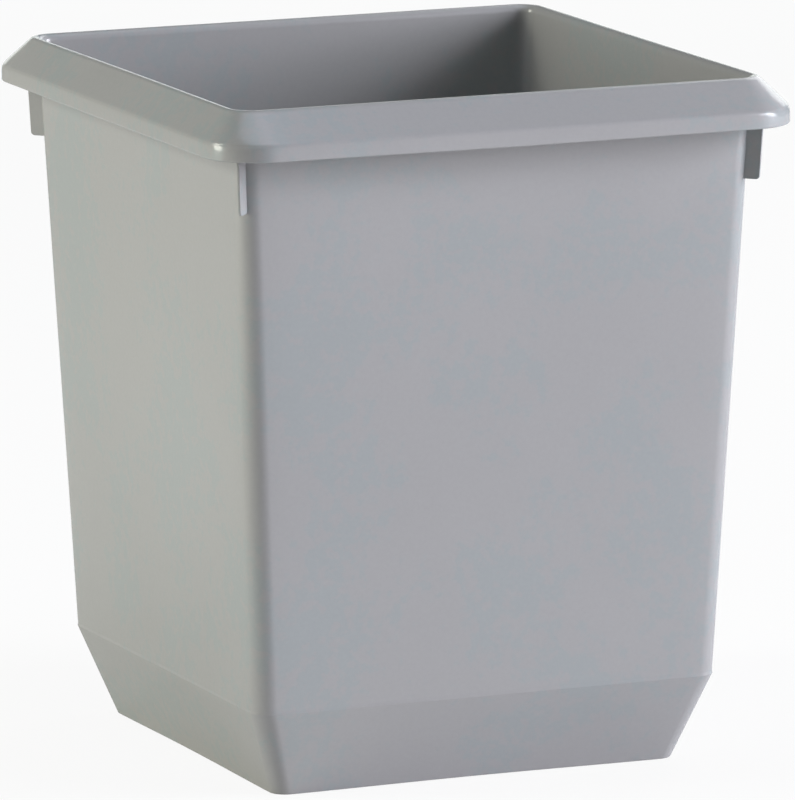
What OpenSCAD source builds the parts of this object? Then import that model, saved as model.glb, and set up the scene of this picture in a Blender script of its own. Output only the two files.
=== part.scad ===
// Square office wastebasket: a thin-walled moulding with an open top, a sloped
// shoulder and hanging skirt round the rim, and a lower band that tapers to the base.
// The origin is the centre of the resting face, +Z is up and -Y is the front.

/* [Body] */
// Height of the ridge of the rim above the resting face
height = 345; // [330:1:360]
// Width of the opening from ridge to ridge, the same both ways
opening_w = 278.4; // [270:0.2:284]
// Width of the body at the crease above the lower taper
crease_w = 247.4; // [236:0.2:254]
// Height of that crease above the resting face
crease_z = 44; // [30:1:70]
// Width of the body at the resting face
base_w = 215.6; // [200:0.2:230]
// Thickness of every wall
wall_t = 2; // [1.6:0.1:2.4]

/* [Rim] */
// Width of the rim from left to right
rim_w = 308; // [302:1:314]
// Depth of the rim from front to back
rim_d = 320; // [306:1:326]
// Height of the rim from its ridge to the lower edge of the skirt
rim_h = 22.5; // [20:0.5:27]
// Height of the skirt from its lower edge to the crease of the shoulder
skirt_h = 8; // [6:0.5:10]
// Radius over the ridge at the top of the walls
ridge_r = 3.6; // [3:0.1:4.5]
// Radius of the crease between shoulder and skirt
shoulder_r = 3; // [2.6:0.1:4]

/* [Corners from above] */
// Corner radius along the ridge
ridge_corner_r = 12; // [9:0.5:14]
// Corner radius of the skirt
skirt_corner_r = 27.5; // [22:0.5:32]
// Corner radius of the body at the crease
crease_corner_r = 10.5; // [6:0.5:12]
// Corner radius of the base
base_corner_r = 8.5; // [6:0.5:12]

/* [Base] */
// Width of the flat foot band that the bin rests on
foot_w = 12; // [8:1:20]
// Thickness of the floor
floor_t = 2.5; // [2:0.1:3.5]
// How far the middle of the floor is raised off the ground
floor_lift = 3; // [2.6:0.1:5]

/* [Nesting lugs] */
// How far each lug stands out from the corner of the body
lug_reach = 8; // [6:0.5:10]
// Thickness of a lug
lug_t = 1.4; // [1:0.1:1.5]
// Height of the lower end of the lugs above the resting face
lug_z = 294; // [280:1:305]
// Radius of the lower outer corner of a lug
lug_r = 2; // [1:0.5:3]

/* [Hidden] */
shell_colour = "#a6a8a8";

// Flats on each rounded corner: an odd number, so that one faces a lug squarely
corner_steps = 9;

// Heights of the rim: ridge bend, crease of the shoulder, and the two joins
fold_z = height - ridge_r;
shoulder_z = height - rim_h + skirt_h;
join_z = fold_z - 1.4;
skirt_top_z = shoulder_z - 2.5;

// Overhang of the rim past its ridge, at the sides, at front and back, and between
side_overhang = (rim_w - opening_w) / 2;
front_overhang = (rim_d - opening_w) / 2;
overhang = (side_overhang + front_overhang) / 2;

// Slope of the shoulder, which is tangent to the ridge bend, and centre of the lower bend
shoulder_drop = fold_z - shoulder_z;
slope = atan2(shoulder_drop, overhang) + asin(ridge_r / norm([overhang, shoulder_drop]));
bend_z = shoulder_z - shoulder_r * tan((90 - slope) / 2);

// Directions round each bend of the rim's section, from straight out (0) to straight in (180)
shoulder_turns = [for (share = [0:0.25:1]) share * (90 - slope)];
ridge_turns = [90 - slope, 90 - slope / 2, 90, 120, 150, 180];

// Half width of the body's outer face and its lean below and above the crease
fold_half = opening_w / 2 - ridge_r + wall_t;
draft = (fold_half - crease_w / 2) / (fold_z - crease_z);
taper = (crease_w - base_w) / 2 / crease_z;
foot_half = base_w / 2 + floor_t * taper - wall_t;
panel_half = foot_half - foot_w;

function body_half(z) = z > crease_z ? crease_w / 2 + (z - crease_z) * draft : base_w / 2 + z * taper;

// One level of a wall, as [half width, half depth, corner radius, height]
function square_ring(half, corner_r, z, inset = 0) = [half - inset, half - inset, corner_r - inset, z];

// One level of the rim, a distance out from the ridge: past the ridge it spreads to the skirt
function rim_ring(out, z) = let (
    side = out > 0 ? side_overhang / overhang : 1,
    front = out > 0 ? front_overhang / overhang : 1,
    corner = out > 0 ? (skirt_corner_r - ridge_corner_r) / overhang : 1
) [opening_w / 2 + out * side, opening_w / 2 + out * front, ridge_corner_r + out * corner, z];

// Points round one level, anticlockwise from +X
function ring_points(ring) = [
    for (corner = [0:3], step = [0:corner_steps])
        let (
            turn = 90 * (corner + step / corner_steps),
            side_x = corner == 0 || corner == 3 ? 1 : -1,
            side_y = corner < 2 ? 1 : -1
        ) [
            side_x * (ring[0] - ring[2]) + ring[2] * cos(turn),
            side_y * (ring[1] - ring[2]) + ring[2] * sin(turn),
            ring[3]
        ]
];

// Points along an arc of a section
function bend(centre, radius, turns) = [for (turn = turns) centre + radius * [cos(turn), sin(turn)]];

function reverse(list) = [for (i = [len(list) - 1:-1:0]) list[i]];

// Closed band through a loop of levels: up its outer side, then down its inner side
module band(rings) {
    count = len(ring_points(rings[0]));
    levels = len(rings);
    polyhedron(
        points = [for (ring = rings) each ring_points(ring)],
        faces = [
            for (i = [0:levels - 1], k = [0:count - 1])
                let (j = (i + 1) % levels, m = (k + 1) % count)
                    [i * count + k, j * count + k, j * count + m, i * count + m]
        ]
    );
}

// Flat outline of one level
module outline(ring) {
    polygon([for (point = ring_points(ring)) [point[0], point[1]]]);
}

// Flat frame between two half widths of the base
module base_frame(outer, inner) {
    corner_r = base_corner_r - wall_t;
    difference() {
        outline(square_ring(outer, corner_r, 0));
        outline(square_ring(inner, corner_r, 0));
    }
}

// Ridge, sloped shoulder and the bend at its outer edge
module rim_shoulder() {
    wall_out = body_half(join_z) - opening_w / 2;
    shoulder_centre = [overhang - shoulder_r, bend_z];
    section = concat(
        [[wall_out, join_z]],
        bend([0, fold_z], ridge_r - wall_t, reverse(ridge_turns)),
        bend(shoulder_centre, shoulder_r - wall_t, reverse(shoulder_turns)),
        [[overhang - wall_t, skirt_top_z], [overhang, skirt_top_z]],
        bend(shoulder_centre, shoulder_r, shoulder_turns),
        bend([0, fold_z], ridge_r, ridge_turns),
        [[wall_out - wall_t, join_z]]
    );
    color(shell_colour) band([for (point = section) rim_ring(point[0], point[1])]);
}

// Upright skirt that hangs from the shoulder
module rim_skirt() {
    color(shell_colour) band([
        rim_ring(overhang, height - rim_h),
        rim_ring(overhang, skirt_top_z),
        rim_ring(overhang - wall_t, skirt_top_z),
        rim_ring(overhang - wall_t, height - rim_h)
    ]);
}

// The four tall walls, from the crease to the ridge bend
module side_walls() {
    wall_out = body_half(join_z) - opening_w / 2;
    color(shell_colour) band([
        square_ring(crease_w / 2, crease_corner_r, crease_z),
        rim_ring(wall_out, join_z),
        rim_ring(wall_out - wall_t, join_z),
        square_ring(crease_w / 2, crease_corner_r, crease_z, wall_t)
    ]);
}

// The band below the crease, which tapers to the base
module lower_walls() {
    foot_corner_r = base_corner_r - wall_t;
    color(shell_colour) band([
        square_ring(base_w / 2, base_corner_r, 0),
        square_ring(crease_w / 2, crease_corner_r, crease_z),
        square_ring(crease_w / 2, crease_corner_r, crease_z, wall_t),
        square_ring(foot_half, foot_corner_r, floor_t),
        square_ring(foot_half, foot_corner_r, 0)
    ]);
}

// Flat band that the bin rests on, with the step up to the raised middle
module base_foot() {
    color(shell_colour) {
        linear_extrude(floor_t) base_frame(foot_half, panel_half);
        linear_extrude(floor_lift + floor_t) base_frame(panel_half + wall_t, panel_half);
    }
}

// Raised middle of the floor
module base_panel() {
    color(shell_colour)
        translate([0, 0, floor_lift])
            linear_extrude(floor_t)
                outline(square_ring(panel_half, base_corner_r - wall_t, 0));
}

// Thin upright plate under one corner of the rim, standing out along the diagonal
module nesting_lug(side_x, side_y) {
    // Distance of the body's corner from the axis, at the crease and at the join
    function corner_out(ring) = (ring[0] - ring[2]) * sqrt(2) + ring[2] * cos(45 / corner_steps);
    low_out = corner_out(square_ring(crease_w / 2, crease_corner_r, crease_z));
    high_out = corner_out(rim_ring(body_half(join_z) - opening_w / 2, join_z));
    function root(z) = low_out + (high_out - low_out) * (z - crease_z) / (join_z - crease_z);

    // The outer edge ends just under the shoulder
    ridge_out = corner_out(rim_ring(0, fold_z));
    edge_out = root(shoulder_z) + lug_reach - ridge_out;
    under_z = fold_z + (ridge_r - wall_t) / cos(slope) - edge_out * tan(slope);
    clearance = 0.5;

    color(shell_colour)
        rotate([90, 0, atan2(side_y, side_x)])
            linear_extrude(lug_t, center = true)
                polygon(concat(
                    [[root(lug_z), lug_z]],
                    bend([root(lug_z) + lug_reach - lug_r, lug_z + lug_r], lug_r, [-90:22.5:0]),
                    [[root(under_z) + lug_reach, under_z - clearance]],
                    [[root(join_z), join_z - clearance]]
                ));
}

rim_shoulder();
rim_skirt();
side_walls();
lower_walls();
base_foot();
base_panel();
nesting_lug(-1, -1);  // nesting_lug_front_left
nesting_lug(1, -1);  // nesting_lug_front_right
nesting_lug(-1, 1);  // nesting_lug_back_left
nesting_lug(1, 1);  // nesting_lug_back_right
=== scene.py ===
"""Looks for a square, tapered office wastebasket in grey polypropylene.

Every visible piece is a swept band or a plate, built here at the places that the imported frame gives, and stands
for one CAD node. Metres throughout, in the frame's own axes: +Z up, -Y the front, origin in the middle of the base.
"""

import math
from collections import namedtuple

import bmesh
import bpy
from mathutils import Matrix, Vector, noise


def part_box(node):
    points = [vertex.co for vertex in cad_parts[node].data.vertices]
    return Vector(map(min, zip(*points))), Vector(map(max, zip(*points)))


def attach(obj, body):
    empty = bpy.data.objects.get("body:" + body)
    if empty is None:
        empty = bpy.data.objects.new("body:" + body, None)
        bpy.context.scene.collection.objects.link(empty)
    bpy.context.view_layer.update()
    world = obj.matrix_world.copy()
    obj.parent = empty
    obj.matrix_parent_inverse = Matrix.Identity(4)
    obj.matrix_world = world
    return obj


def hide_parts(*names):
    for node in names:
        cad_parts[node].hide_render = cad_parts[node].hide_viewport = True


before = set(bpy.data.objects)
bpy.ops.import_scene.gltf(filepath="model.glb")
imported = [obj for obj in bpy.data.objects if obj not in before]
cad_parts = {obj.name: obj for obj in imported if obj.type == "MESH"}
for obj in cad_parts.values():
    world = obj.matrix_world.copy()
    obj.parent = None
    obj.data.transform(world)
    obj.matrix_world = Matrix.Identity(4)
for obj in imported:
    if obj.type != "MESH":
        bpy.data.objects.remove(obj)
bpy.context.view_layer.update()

MM = 0.001
SAME_HEIGHT = 0.01 * MM


# ------------------------------------------------------------------ sizes


def half_width(node, height):
    """Half width of a CAD node at one height."""
    return max(v.co.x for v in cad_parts[node].data.vertices if abs(v.co.z - height) < SAME_HEIGHT)


RIM_HALF_X, RIM_HALF_Y, RIDGE_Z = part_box("rim_shoulder")[1]
SKIRT_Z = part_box("rim_skirt")[0].z
SKIRT_TOP_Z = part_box("rim_skirt")[1].z
CREASE_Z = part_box("side_walls")[0].z
JOIN_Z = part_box("side_walls")[1].z
LUG_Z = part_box("nesting_lug_front_left")[0].z
LUG_TOP_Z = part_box("nesting_lug_front_left")[1].z
FLOOR_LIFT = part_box("base_panel")[0].z
FLOOR_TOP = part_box("base_panel")[1].z

BASE_HALF = half_width("lower_walls", 0.0)
CREASE_HALF = half_width("side_walls", CREASE_Z)
JOIN_HALF = half_width("side_walls", JOIN_Z)
FOOT_HALF = half_width("base_foot", 0.0)
PANEL_HALF = half_width("base_panel", FLOOR_TOP)

# Sizes that the CAD nodes share
WALL = 2.0 * MM
RIDGE_R = 3.6 * MM
RIDGE_HALF = 139.2 * MM
SKIRT_H = 8.0 * MM
SHOULDER_R = 3.0 * MM
LUG_REACH = 8.0 * MM
LUG_T = 1.4 * MM
LUG_R = 2.0 * MM

# Roundings that only the visible pieces have
CREASE_R = 0.6 * MM
EDGE_R = 0.7 * MM
INSIDE_R = 4.0 * MM
LUG_EDGE_R = LUG_T / 5
LUG_EDGE_STEPS = 3

# How far a lug reaches into the wall, and how far its outer edge ends below its top
LUG_SUNK = 0.5 * WALL
LUG_TOP_DROP = 0.45 * LUG_REACH

# Corner radii seen from above
RIDGE_CORNER_R = 12.0 * MM
SKIRT_CORNER_R = 27.5 * MM
CREASE_CORNER_R = 10.5 * MM
BASE_CORNER_R = 8.5 * MM

FLOOR_T = FLOOR_TOP - FLOOR_LIFT
DRAFT = (JOIN_HALF - CREASE_HALF) / (JOIN_Z - CREASE_Z)
TAPER = (CREASE_HALF - BASE_HALF) / CREASE_Z
FOLD_Z = RIDGE_Z - RIDGE_R
SHOULDER_Z = SKIRT_Z + SKIRT_H
SIDE_OVERHANG = RIM_HALF_X - RIDGE_HALF
FRONT_OVERHANG = RIM_HALF_Y - RIDGE_HALF
OVERHANG = (SIDE_OVERHANG + FRONT_OVERHANG) / 2
JOIN_OUT = JOIN_HALF - RIDGE_HALF

# Where the visible upper and lower walls meet, and below it the slight flare along the crease
CUT_Z = CREASE_Z + 4.0 * MM
FLARE = 0.25 * MM
FLARE_Z = CREASE_Z + 1.5 * MM
FLARE_R = 2.0 * MM

# Round mark of the moulding's feed point under the floor, and the stub inside it
MARK_R = 9 * MM
MARK_DEPTH = 0.6 * MM
STUB_R = 1.8 * MM
STUB_H = 0.9 * MM
STUB_FLAT_R = 0.5 * MM

# Rings of the floor as shares of its half width: both faces have these, and each has its own nearest the middle
PANEL_RINGS = (0.3, 0.5, 0.7, 0.9, 0.995)
PANEL_TOP_MIDDLE = (0.01, 0.1)
PANEL_UNDER_MIDDLE = 0.14

# How far the middle of each side has moved since the moulding cooled
WALL_BOW = -0.8 * MM
RIM_BOW = -0.5 * MM
SKIRT_SAG = -0.4 * MM
BASE_LIFT = 0.5 * MM

# Size of the faint unevenness of the wall, how often it changes, and the seed that makes it the same in every run
RIPPLE = 0.12 * MM
RIPPLE_PER_M = 11.0
RIPPLE_SEED = 1

# How much rounder the crease of the shoulder is at the corners, and how far that reaches above and below it
CORNER_SOFT = 0.9 * MM
SOFT_REACH = 6.0 * MM
SOFT_REACH_BELOW = 3.6 * MM


# ------------------------------------------------------------------ levels

# One closed line round the bin. bow moves the middle of each side outwards, lift moves it up,
# soft pulls the middle of each corner inwards, and round turns the line into a circle by a share.
Level = namedtuple("Level", "half_x half_y corner z bow lift soft round", defaults=(0.0, 0.0))

CORNER_STEPS = 14
SIDE_STEPS = 26


def ripple(point):
    """The faint unevenness of a thin moulded wall, which both of its faces share."""
    shift = noise.noise_vector(point * RIPPLE_PER_M) * RIPPLE
    return point + Vector((shift.x, shift.y, 0))


def on_circle(point, radius):
    """The place on a level circle that is in the same direction from the axis as a point."""
    flat = Vector((point.x, point.y, 0)).normalized() * radius
    return Vector((flat.x, flat.y, point.z))


def level_points(level):
    """Points round one level, anticlockwise from +X: four rounded corners joined by four sides."""
    points = []
    for quarter in range(4):
        sign_x = 1 if quarter in (0, 3) else -1
        sign_y = 1 if quarter < 2 else -1
        centre_x = sign_x * (level.half_x - level.corner)
        centre_y = sign_y * (level.half_y - level.corner)
        for step in range(CORNER_STEPS + 1):
            turn = math.pi / 2 * (quarter + step / CORNER_STEPS)
            radius = level.corner - level.soft * math.sin(2 * turn) ** 2
            x = centre_x + radius * math.cos(turn)
            y = centre_y + radius * math.sin(turn)
            points.append(Vector((x, y, level.z)))
        turn = math.pi / 2 * (quarter + 1)
        outward = Vector((round(math.cos(turn)), round(math.sin(turn)), 0))
        along = Vector((-outward.y, outward.x, 0))
        length = 2 * ((level.half_x if outward.y else level.half_y) - level.corner)
        corner_end = points[-1]
        for step in range(1, SIDE_STEPS):
            share = step / SIDE_STEPS
            swell = (1 - (2 * share - 1) ** 2) ** 2
            moved = outward * level.bow * swell + Vector((0, 0, level.lift * swell))
            points.append(corner_end + along * length * share + moved)
    return [ripple(p.lerp(on_circle(p, level.half_x), level.round)) for p in points]


def outer_half(z):
    """Half width of the body's outer face at a height."""
    if z > CREASE_Z:
        return CREASE_HALF + (z - CREASE_Z) * DRAFT
    return BASE_HALF + z * TAPER


def outer_corner(z):
    """Corner radius of the body's outer face at a height."""
    if z > CREASE_Z:
        share = (z - CREASE_Z) / (JOIN_Z - CREASE_Z)
        return CREASE_CORNER_R + share * (RIDGE_CORNER_R + JOIN_OUT - CREASE_CORNER_R)
    return BASE_CORNER_R + z / CREASE_Z * (CREASE_CORNER_R - BASE_CORNER_R)


def body_level(half, z):
    """Level of the body at a half width and height."""
    corner = max(outer_corner(z) - (outer_half(z) - half), BASE_CORNER_R - WALL)
    bow = WALL_BOW * math.sin(math.pi * z / JOIN_Z) + RIM_BOW * z / JOIN_Z
    lift = BASE_LIFT * max(0.0, 1 - z / CREASE_Z)
    return Level(half, half, corner, z, bow, lift)


def rim_level(out, z):
    """Level of the rim, a distance out from its ridge: past the ridge it spreads to the skirt."""
    past = out > 0
    side = SIDE_OVERHANG / OVERHANG if past else 1
    front = FRONT_OVERHANG / OVERHANG if past else 1
    corner = (SKIRT_CORNER_R - RIDGE_CORNER_R) / OVERHANG if past else 1
    sag = SKIRT_SAG * (RIDGE_Z - z) / (RIDGE_Z - SKIRT_Z) if past else 0
    reach = SOFT_REACH if z > SHOULDER_Z else SOFT_REACH_BELOW
    from_crease = math.hypot((out - OVERHANG) / SOFT_REACH, (z - SHOULDER_Z) / reach)
    soft = CORNER_SOFT * max(0.0, 1 - from_crease) ** 2
    half_x = RIDGE_HALF + out * side
    half_y = RIDGE_HALF + out * front
    return Level(half_x, half_y, RIDGE_CORNER_R + out * corner, z, RIM_BOW, sag, soft)


def panel_level(half, z):
    """Level of the floor panel: it follows the foot at its edge and turns from square to round at the feed mark."""
    edge = body_level(PANEL_HALF, z)
    share = half / PANEL_HALF
    squareness = min(1.0, max(0.0, half / MARK_R - 1))
    return Level(half, half, edge.corner * share, z, edge.bow * share, edge.lift * share, round=1 - squareness)


# ------------------------------------------------------------------ sections

# Distance between section points on long and on short stretches, and from a bend to the close point beside it
WALL_SPACING = 16 * MM
RIM_SPACING = 1.5 * MM
CRISP = 0.4 * MM
SHORTEST_STRAIGHT = 3 * CRISP
BEND_STEPS = 8


def straight(start, end, spacing):
    """Section points between two places, with a close one at each end so that the bends beside it stay crisp."""
    length = math.dist(start, end)
    if length < SHORTEST_STRAIGHT:
        return []
    gaps = max(1, round(length / spacing))
    shares = [CRISP / length, *(i / gaps for i in range(1, gaps)), 1 - CRISP / length]
    return [tuple(a + (b - a) * share for a, b in zip(start, end)) for share in shares]


def bend(centre, radius, start, end):
    """Section points round an arc; 0 degrees points outwards and 90 up."""
    turns = [math.radians(start + (end - start) * i / BEND_STEPS) for i in range(BEND_STEPS + 1)]
    return [(centre[0] + radius * math.cos(t), centre[1] + radius * math.sin(t)) for t in turns]


def fillet(before, corner, after, radius):
    """Section points that round one corner of a path with an arc tangent to both of its sides."""
    corner = Vector(corner)
    to_before = (Vector(before) - corner).normalized()
    to_after = (Vector(after) - corner).normalized()
    half_angle = to_before.angle(to_after) / 2
    centre = corner + (to_before + to_after).normalized() * radius / math.sin(half_angle)
    tangent = radius / math.tan(half_angle)
    first = corner + to_before * tangent - centre
    last = corner + to_after * tangent - centre
    sweep = first.angle_signed(last)
    points = []
    for i in range(BEND_STEPS + 1):
        spoke = first.copy()
        spoke.rotate(Matrix.Rotation(-sweep * i / BEND_STEPS, 2))
        points.append(tuple(centre + spoke))
    return points


def closed_section(*stretches, spacing=WALL_SPACING):
    """Joins stretches into one loop. Returns its points and the places of its sharp corners.

    A stretch of several points is a smooth bend, and a stretch of one point is a sharp corner."""
    points = []
    sharp = []
    for i, stretch in enumerate(stretches):
        if len(stretch) == 1:
            sharp.append(len(points))
        points += stretch
        points += straight(stretch[-1], stretches[(i + 1) % len(stretches)][0], spacing)
    return points, sharp


# ------------------------------------------------------------------ meshes


def band_mesh(name, levels, sharp, capped=False):
    """Skin through a run of levels. It closes on itself like a ring, or has a face at each end if it is capped."""
    build = bmesh.new()
    loops = [[build.verts.new(p) for p in level_points(level)] for level in levels]
    count = len(loops[0])
    pairs = list(zip(loops, loops[1:] if capped else loops[1:] + loops[:1]))
    for low, high in pairs:
        for k in range(count):
            m = (k + 1) % count
            build.faces.new((low[k], low[m], high[m], high[k]))
    if capped:
        build.faces.new(loops[0])
        build.faces.new(loops[-1])
    for face in build.faces:
        face.smooth = True
    for i in sharp:
        for k in range(count):
            edge = build.edges.get((loops[i][k], loops[i][(k + 1) % count]))
            edge.smooth = False
    bmesh.ops.recalc_face_normals(build, faces=build.faces)
    mesh = bpy.data.meshes.new(name)
    build.to_mesh(mesh)
    build.free()
    return mesh


def add_piece(name, mesh, node, material):
    """Puts a finished mesh into the scene as the piece that stands for one CAD node."""
    piece = bpy.data.objects.new(name, mesh)
    bpy.context.scene.collection.objects.link(piece)
    mesh.materials.append(material)
    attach(piece, "root")
    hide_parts(node)
    return piece


# ------------------------------------------------------------------ pieces


def rim_shoulder(material):
    """Ridge, sloped shoulder and the bend at its outer edge."""
    drop = FOLD_Z - SHOULDER_Z
    slope = math.degrees(math.atan2(drop, OVERHANG) + math.asin(RIDGE_R / math.hypot(OVERHANG, drop)))
    inside = 180 - math.degrees(math.atan(DRAFT))
    ridge = (0, FOLD_Z)
    edge = (OVERHANG - SHOULDER_R, SHOULDER_Z - SHOULDER_R * math.tan(math.radians((90 - slope) / 2)))
    points, sharp = closed_section(
        [(JOIN_OUT, JOIN_Z)],
        bend(ridge, RIDGE_R - WALL, inside, 90 - slope),
        bend(edge, SHOULDER_R - WALL, 90 - slope, 0),
        [(OVERHANG - WALL, SKIRT_TOP_Z)],
        [(OVERHANG, SKIRT_TOP_Z)],
        bend(edge, SHOULDER_R, 0, 90 - slope),
        bend(ridge, RIDGE_R, 90 - slope, inside),
        [(JOIN_OUT - WALL, JOIN_Z)],
        spacing=RIM_SPACING,
    )
    mesh = band_mesh("rim_shoulder_skin", [rim_level(*p) for p in points], sharp)
    add_piece("shoulder_of_the_rim", mesh, "rim_shoulder", material)


def rim_skirt(material):
    """Skirt under the shoulder, with its lower edge rounded on both sides."""
    outside, inside = OVERHANG, OVERHANG - WALL
    points, sharp = closed_section(
        [(inside, SKIRT_TOP_Z)],
        bend((inside + EDGE_R, SKIRT_Z + EDGE_R), EDGE_R, 180, 270),
        bend((outside - EDGE_R, SKIRT_Z + EDGE_R), EDGE_R, -90, 0),
        [(outside, SKIRT_TOP_Z)],
        spacing=RIM_SPACING,
    )
    mesh = band_mesh("rim_skirt_skin", [rim_level(*p) for p in points], sharp)
    add_piece("skirt_of_the_rim", mesh, "rim_skirt", material)


def side_walls(material):
    """The four tall walls, from a little above the crease to the ridge bend."""
    points, sharp = closed_section(
        [(outer_half(CUT_Z), CUT_Z)],
        [(JOIN_HALF, JOIN_Z)],
        [(JOIN_HALF - WALL, JOIN_Z)],
        [(outer_half(CUT_Z) - WALL, CUT_Z)],
    )
    mesh = band_mesh("side_walls_skin", [body_level(*p) for p in points], sharp)
    add_piece("walls_above_the_crease", mesh, "side_walls", material)


def lower_walls(material):
    """The tapered band, the slight flare along the crease above it, and the rounded edge that the bin stands on."""
    cut_out = (outer_half(CUT_Z), CUT_Z)
    cut_in = (outer_half(CUT_Z) - WALL, CUT_Z)
    flare_top = (outer_half(FLARE_Z), FLARE_Z)
    crease_out = (CREASE_HALF + FLARE, CREASE_Z)
    crease_in = (CREASE_HALF - WALL, CREASE_Z)
    base_edge = (BASE_HALF, 0)
    points, sharp = closed_section(
        [(FOOT_HALF, 0)],
        fillet((FOOT_HALF, 0), base_edge, crease_out, EDGE_R),
        fillet(base_edge, crease_out, flare_top, CREASE_R),
        fillet(crease_out, flare_top, cut_out, FLARE_R),
        [cut_out],
        [cut_in],
        fillet(cut_in, crease_in, (FOOT_HALF, FLOOR_T), WALL),
        [(FOOT_HALF, FLOOR_T)],
    )
    mesh = band_mesh("lower_walls_skin", [body_level(*p) for p in points], sharp)
    add_piece("walls_below_the_crease", mesh, "lower_walls", material)


def base_foot(material):
    """Frame that the bin stands on, the step up to the floor, and the soft corner where it meets the walls."""
    wall_top = FLOOR_T + 2 * INSIDE_R
    wall_inside = (outer_half(wall_top) - WALL, wall_top)
    step_foot = (PANEL_HALF + WALL, FLOOR_T)
    step_top = (PANEL_HALF + WALL, FLOOR_TOP)
    points, sharp = closed_section(
        [(FOOT_HALF, 0)],
        [(FOOT_HALF, FLOOR_T)],
        fillet(wall_inside, (FOOT_HALF, FLOOR_T), step_foot, INSIDE_R),
        fillet((FOOT_HALF, FLOOR_T), step_foot, step_top, EDGE_R),
        fillet(step_foot, step_top, (PANEL_HALF, FLOOR_TOP), EDGE_R),
        [(PANEL_HALF, FLOOR_TOP)],
        fillet((PANEL_HALF, FLOOR_TOP), (PANEL_HALF, 0), (FOOT_HALF, 0), EDGE_R),
    )
    mesh = band_mesh("base_foot_skin", [body_level(*p) for p in points], sharp)
    add_piece("foot_of_the_base", mesh, "base_foot", material)


def base_panel(material):
    """Raised middle of the floor, with the mark of the feed point under its centre."""
    mark_top = FLOOR_LIFT + MARK_DEPTH
    top = [(PANEL_HALF * share, FLOOR_TOP) for share in (*PANEL_TOP_MIDDLE, *PANEL_RINGS)]
    rim = [(PANEL_HALF, FLOOR_TOP), (PANEL_HALF, FLOOR_LIFT)]
    under = [(PANEL_HALF * share, FLOOR_LIFT) for share in (*reversed(PANEL_RINGS), PANEL_UNDER_MIDDLE)]
    mark = [
        (MARK_R, FLOOR_LIFT),
        (MARK_R - EDGE_R, mark_top),
        (STUB_R + EDGE_R, mark_top),
        (STUB_R, mark_top - EDGE_R),
        (STUB_R, mark_top - STUB_H),
        (STUB_FLAT_R, mark_top - STUB_H),
    ]
    points = top + rim + under + mark
    sharp = [len(top), len(top) + 1, *range(len(points) - len(mark), len(points) - 1)]
    mesh = band_mesh("base_panel_skin", [panel_level(*p) for p in points], sharp, capped=True)
    add_piece("panel_of_the_base", mesh, "base_panel", material)


def lug_root(z):
    """Distance from the axis to the wall's rounded corner at a height, where a lug stands out of it."""
    level = body_level(outer_half(z), z)
    return (level.half_x + level.half_y - 2 * level.corner) / math.sqrt(2) + level.corner


def nesting_lug(side_x, side_y, node, material):
    """Thin upright plate under one corner of the rim, standing out along the diagonal."""
    edge_top_z = LUG_TOP_Z - LUG_TOP_DROP
    foot = (lug_root(LUG_Z), LUG_Z)
    corner = (lug_root(LUG_Z) + LUG_REACH, LUG_Z)
    edge_top = (lug_root(edge_top_z) + LUG_REACH, edge_top_z)
    outline = [
        (lug_root(LUG_Z) - LUG_SUNK, LUG_Z),
        *fillet(foot, corner, edge_top, LUG_R),
        edge_top,
        (lug_root(LUG_TOP_Z) - LUG_SUNK, LUG_TOP_Z),
    ]
    out = Vector((side_x, side_y, 0)).normalized()
    across = Vector((-out.y, out.x, 0))
    build = bmesh.new()
    faces = []
    for side in (-1, 1):
        spots = [out * p[0] + Vector((0, 0, p[1])) + across * side * LUG_T / 2 for p in outline]
        faces.append([build.verts.new(spot) for spot in spots])
    build.faces.new(faces[0])
    build.faces.new(faces[1])
    for k in range(len(outline)):
        m = (k + 1) % len(outline)
        build.faces.new((faces[0][k], faces[0][m], faces[1][m], faces[1][k]))
    long_faces = [f for f in build.faces if len(f.verts) == len(outline)]
    rims = [e for face in long_faces for e in face.edges]
    bmesh.ops.recalc_face_normals(build, faces=build.faces)
    bmesh.ops.bevel(build, geom=rims, offset=LUG_EDGE_R, segments=LUG_EDGE_STEPS, profile=0.5, affect="EDGES")
    for face in build.faces:
        face.smooth = True
    mesh = bpy.data.meshes.new(node + "_skin")
    build.to_mesh(mesh)
    build.free()
    piece = add_piece(node + "_plate", mesh, node, material)
    weighted = piece.modifiers.new("even_normals", "WEIGHTED_NORMAL")
    weighted.keep_sharp = True


# ------------------------------------------------------------------ materials

PLASTIC_IOR = 1.49
GREY = (0.361, 0.359, 0.358, 1.0)
COOL_GREY = (0.337, 0.358, 0.36, 1.0)
PAPER_WHITE = (0.8, 0.8, 0.8, 1.0)
PAPER_ROUGHNESS = 0.9
PAPER_SPECULAR = 0.1

# Ranges from low to high: what fine and slow noise mostly span, where pigment clouds begin and are full,
# and what noise is turned into
FINE_SPAN = (0.25, 0.75)
SLOW_SPAN = (0.3, 0.7)
CLOUD_EDGE = (0.25, 0.31)
ZERO_TO_ONE = (0.0, 1.0)
SHADE = (0.985, 1.015)
GLOSS = (0.19, 0.25)

# Fine grain and slow waviness of the surface: strength, and depth in metres
GRAIN = (0.05, 0.03 * MM)
PEEL = (0.2, 0.1 * MM)

# First what the bin is lit by, then what the camera sees: glow of the floor, and strength of the surroundings
FLOOR_GLOW = (0.0, 0.9)
SURROUNDINGS = (0.04, 0.97)


def noise_field(tree, per_metre, detail, roughness=0.5):
    """Noise in the bin's own space, with features of about 1 / per_metre."""
    place = tree.nodes.new("ShaderNodeTexCoord")
    texture = tree.nodes.new("ShaderNodeTexNoise")
    texture.inputs["Scale"].default_value = per_metre
    texture.inputs["Detail"].default_value = detail
    texture.inputs["Roughness"].default_value = roughness
    tree.links.new(place.outputs["Object"], texture.inputs["Vector"])
    return texture.outputs["Fac"]


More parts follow.
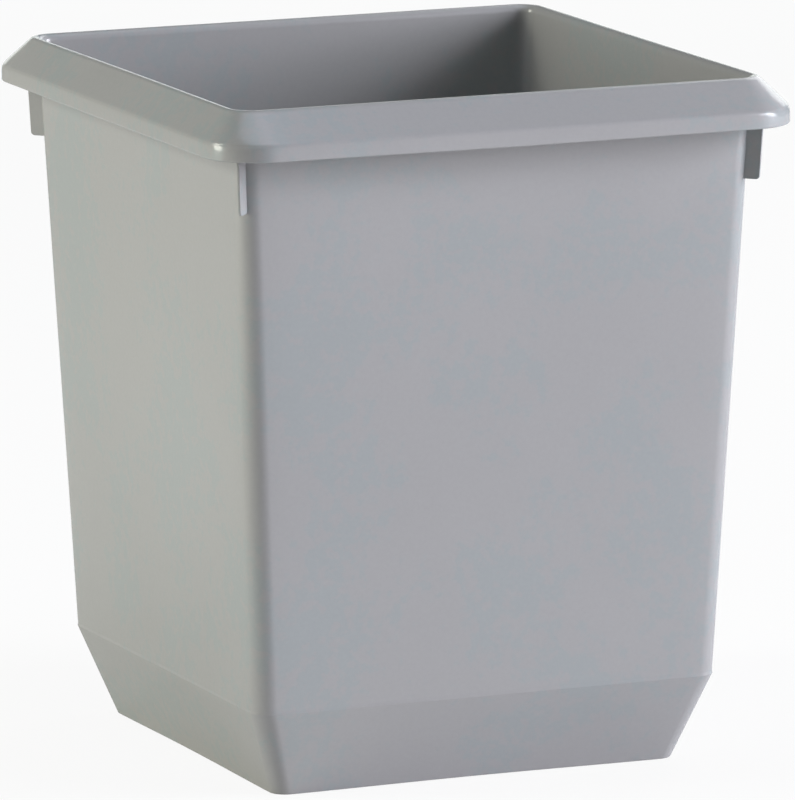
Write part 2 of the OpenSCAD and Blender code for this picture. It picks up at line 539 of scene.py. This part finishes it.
def ranged(tree, value, span_in, span_out):
    """Value moved from one range to another and held inside it."""
    remap = tree.nodes.new("ShaderNodeMapRange")
    ends = ("From Min", "From Max", "To Min", "To Max")
    for end, number in zip(ends, (*span_in, *span_out)):
        remap.inputs[end].default_value = number
    tree.links.new(value, remap.inputs["Value"])
    return remap.outputs["Result"]


def camera_ranged(tree, lit_and_seen):
    """One number for light and reflections, and another for what the camera sees directly."""
    path = tree.nodes.new("ShaderNodeLightPath")
    return ranged(tree, path.outputs["Is Camera Ray"], ZERO_TO_ONE, lit_and_seen)


def combined(tree, operation, first, second):
    """Math node on two outputs."""
    node = tree.nodes.new("ShaderNodeMath")
    node.operation = operation
    tree.links.new(first, node.inputs[0])
    tree.links.new(second, node.inputs[1])
    return node.outputs["Value"]


def mixed_colour(tree, factor, first, second, blend="MIX"):
    """Mix of two colours, each an output or a fixed colour."""
    node = tree.nodes.new("ShaderNodeMix")
    node.data_type = "RGBA"
    node.blend_type = blend
    for value, socket in ((factor, node.inputs["Factor"]), (first, node.inputs["A"]), (second, node.inputs["B"])):
        if isinstance(value, (tuple, float)):
            socket.default_value = value
        else:
            tree.links.new(value, socket)
    return node.outputs["Result"]


def bumped(tree, height, strength_and_depth, before=None):
    """Bump of a strength and of a depth in metres, on top of the bump before it."""
    node = tree.nodes.new("ShaderNodeBump")
    node.inputs["Strength"].default_value, node.inputs["Distance"].default_value = strength_and_depth
    tree.links.new(height, node.inputs["Height"])
    if before:
        tree.links.new(before, node.inputs["Normal"])
    return node.outputs["Normal"]


def polypropylene():
    """Semi-gloss grey moulded polypropylene: fine grain, faint pigment clouds and slow changes of gloss."""
    material = bpy.data.materials.new("grey_polypropylene")
    material.use_nodes = True
    tree = material.node_tree
    shader = tree.nodes["Principled BSDF"]
    shader.inputs["IOR"].default_value = PLASTIC_IOR

    patches = noise_field(tree, per_metre=150, detail=4, roughness=0.6)
    clusters = noise_field(tree, per_metre=16, detail=2)
    clouding = ranged(tree, combined(tree, "MULTIPLY", patches, clusters), CLOUD_EDGE, ZERO_TO_ONE)
    pigment = mixed_colour(tree, clouding, GREY, COOL_GREY)
    speckle = ranged(tree, noise_field(tree, per_metre=500, detail=2), FINE_SPAN, SHADE)
    drift = ranged(tree, noise_field(tree, per_metre=7, detail=2), SLOW_SPAN, SHADE)
    shade = combined(tree, "MULTIPLY", speckle, drift)
    tree.links.new(mixed_colour(tree, 1.0, pigment, shade, "MULTIPLY"), shader.inputs["Base Color"])

    gloss = ranged(tree, noise_field(tree, per_metre=18, detail=3), SLOW_SPAN, GLOSS)
    tree.links.new(gloss, shader.inputs["Roughness"])

    grain = bumped(tree, noise_field(tree, per_metre=1100, detail=2), GRAIN)
    peel = bumped(tree, noise_field(tree, per_metre=160, detail=2), PEEL, before=grain)
    tree.links.new(peel, shader.inputs["Normal"])
    return material


def floor_material():
    """Plain white studio paper, which looks brighter to the camera than it shines on the bin."""
    material = bpy.data.materials.new("pale_floor")
    material.use_nodes = True
    tree = material.node_tree
    paper = tree.nodes["Principled BSDF"]
    paper.inputs["Base Color"].default_value = PAPER_WHITE
    paper.inputs["Roughness"].default_value = PAPER_ROUGHNESS
    paper.inputs["Specular IOR Level"].default_value = PAPER_SPECULAR
    glow = tree.nodes.new("ShaderNodeEmission")
    mix = tree.nodes.new("ShaderNodeMixShader")
    tree.links.new(camera_ranged(tree, FLOOR_GLOW), mix.inputs["Fac"])
    tree.links.new(paper.outputs["BSDF"], mix.inputs[1])
    tree.links.new(glow.outputs["Emission"], mix.inputs[2])
    tree.links.new(mix.outputs["Shader"], tree.nodes["Material Output"].inputs["Surface"])
    return material


# ------------------------------------------------------------------ stage, light and camera

# Half width of the floor in metres
FLOOR_HALF = 8.0

# Area lights round the bin: direction in degrees, sizes in metres, power in watts
Softbox = namedtuple("Softbox", "name azimuth elevation distance width height watts tint")

SOFTBOXES = (
    Softbox("right_key", 60, 16, 4.0, 1.3, 2.0, 150, (0.91, 0.93, 1.0)),
    Softbox("right_wide", 42, 19, 4.0, 1.3, 2.0, 50, (0.9, 0.9, 1.0)),
    Softbox("right_low", 50, 6, 4.0, 1.8, 0.7, 22, (1.0, 0.88, 0.97)),
    Softbox("left_key", -102, 17, 2.0, 0.6, 1.2, 31, (1.0, 1.0, 0.89)),
    Softbox("rear_right", 130, 34, 2.0, 0.8, 1.2, 8, (0.98, 1.0, 1.0)),
    Softbox("backdrop", 157, 9, 3.0, 3.0, 0.9, 14, (0.95, 1.0, 0.96)),
    Softbox("top_fill", 0, 88, 2.0, 1.2, 1.2, 9, (0.78, 0.86, 1.0)),
)

# Camera: direction and roll in degrees, metres from the bin, how far it is moved aside and down, and how far it sees
CAMERA_AZIMUTH = -23.25
CAMERA_ELEVATION = 10.45
CAMERA_ROLL = -0.1
CAMERA_DISTANCE = 4.936
CAMERA_ASIDE = 3.35 * MM
CAMERA_BELOW = 1.65 * MM
CAMERA_RANGE = 100.0
LENS_MM = 444.0
SENSOR_MM = 36.0


def direction(azimuth, elevation):
    """Unit vector from the bin: azimuth 0 is its front and 90 its right side, in degrees."""
    a, e = math.radians(azimuth), math.radians(elevation)
    return Vector((math.sin(a) * math.cos(e), -math.cos(a) * math.cos(e), math.sin(e)))


def add_softbox(box):
    """Rectangular area light that faces the middle of the bin."""
    lamp = bpy.data.lights.new(box.name, "AREA")
    lamp.shape = "RECTANGLE"
    lamp.size = box.width
    lamp.size_y = box.height
    lamp.energy = box.watts
    lamp.color = box.tint
    holder = bpy.data.objects.new(box.name, lamp)
    bpy.context.scene.collection.objects.link(holder)
    away = direction(box.azimuth, box.elevation)
    holder.location = Vector((0, 0, RIDGE_Z / 2)) + away * box.distance
    holder.rotation_euler = away.to_track_quat("Z", "Y").to_euler()
    holder.visible_camera = False


def build_stage():
    """Floor, surroundings and lights."""
    half = FLOOR_HALF
    mesh = bpy.data.meshes.new("floor_plane")
    mesh.from_pydata([(-half, -half, 0), (half, -half, 0), (half, half, 0), (-half, half, 0)], [], [(0, 1, 2, 3)])
    mesh.materials.append(floor_material())
    ground = bpy.data.objects.new("studio_floor", mesh)
    bpy.context.scene.collection.objects.link(ground)

    world = bpy.data.worlds.new("studio_surroundings")
    world.use_nodes = True
    tree = world.node_tree
    sky = tree.nodes["Background"]
    sky.inputs["Color"].default_value = (1, 1, 1, 1)
    tree.links.new(camera_ranged(tree, SURROUNDINGS), sky.inputs["Strength"])
    bpy.context.scene.world = world

    for box in SOFTBOXES:
        add_softbox(box)
    bpy.context.scene.view_settings.view_transform = "Standard"


def build_camera():
    """Long lens a little above the rim, turned to the bin's front left corner."""
    roll = math.radians(CAMERA_ROLL)
    back = direction(CAMERA_AZIMUTH, CAMERA_ELEVATION)
    right = Vector((0, 0, 1)).cross(back).normalized()
    up = back.cross(right)
    image_right = math.cos(roll) * right + math.sin(roll) * up
    image_up = math.cos(roll) * up - math.sin(roll) * right
    middle = Vector((0, 0, RIDGE_Z / 2))
    place = middle + back * CAMERA_DISTANCE + image_right * CAMERA_ASIDE - image_up * CAMERA_BELOW
    turn = Matrix((image_right, image_up, back)).transposed().to_4x4()

    camera = bpy.data.objects.new("camera", bpy.data.cameras.new("camera"))
    bpy.context.scene.collection.objects.link(camera)
    camera.data.sensor_width = SENSOR_MM
    camera.data.lens = LENS_MM
    camera.data.clip_end = CAMERA_RANGE
    camera.matrix_world = Matrix.Translation(place) @ turn
    bpy.context.scene.camera = camera


# ------------------------------------------------------------------ the bin

# Sides of the lugs along X and Y, and the nodes they stand for
LUG_CORNERS = (
    (-1, -1, "nesting_lug_front_left"),
    (1, -1, "nesting_lug_front_right"),
    (-1, 1, "nesting_lug_back_left"),
    (1, 1, "nesting_lug_back_right"),
)

noise.seed_set(RIPPLE_SEED)
plastic = polypropylene()
rim_shoulder(plastic)
rim_skirt(plastic)
side_walls(plastic)
lower_walls(plastic)
base_foot(plastic)
base_panel(plastic)
for side_x, side_y, lug_node in LUG_CORNERS:
    nesting_lug(side_x, side_y, lug_node, plastic)

build_stage()
build_camera()
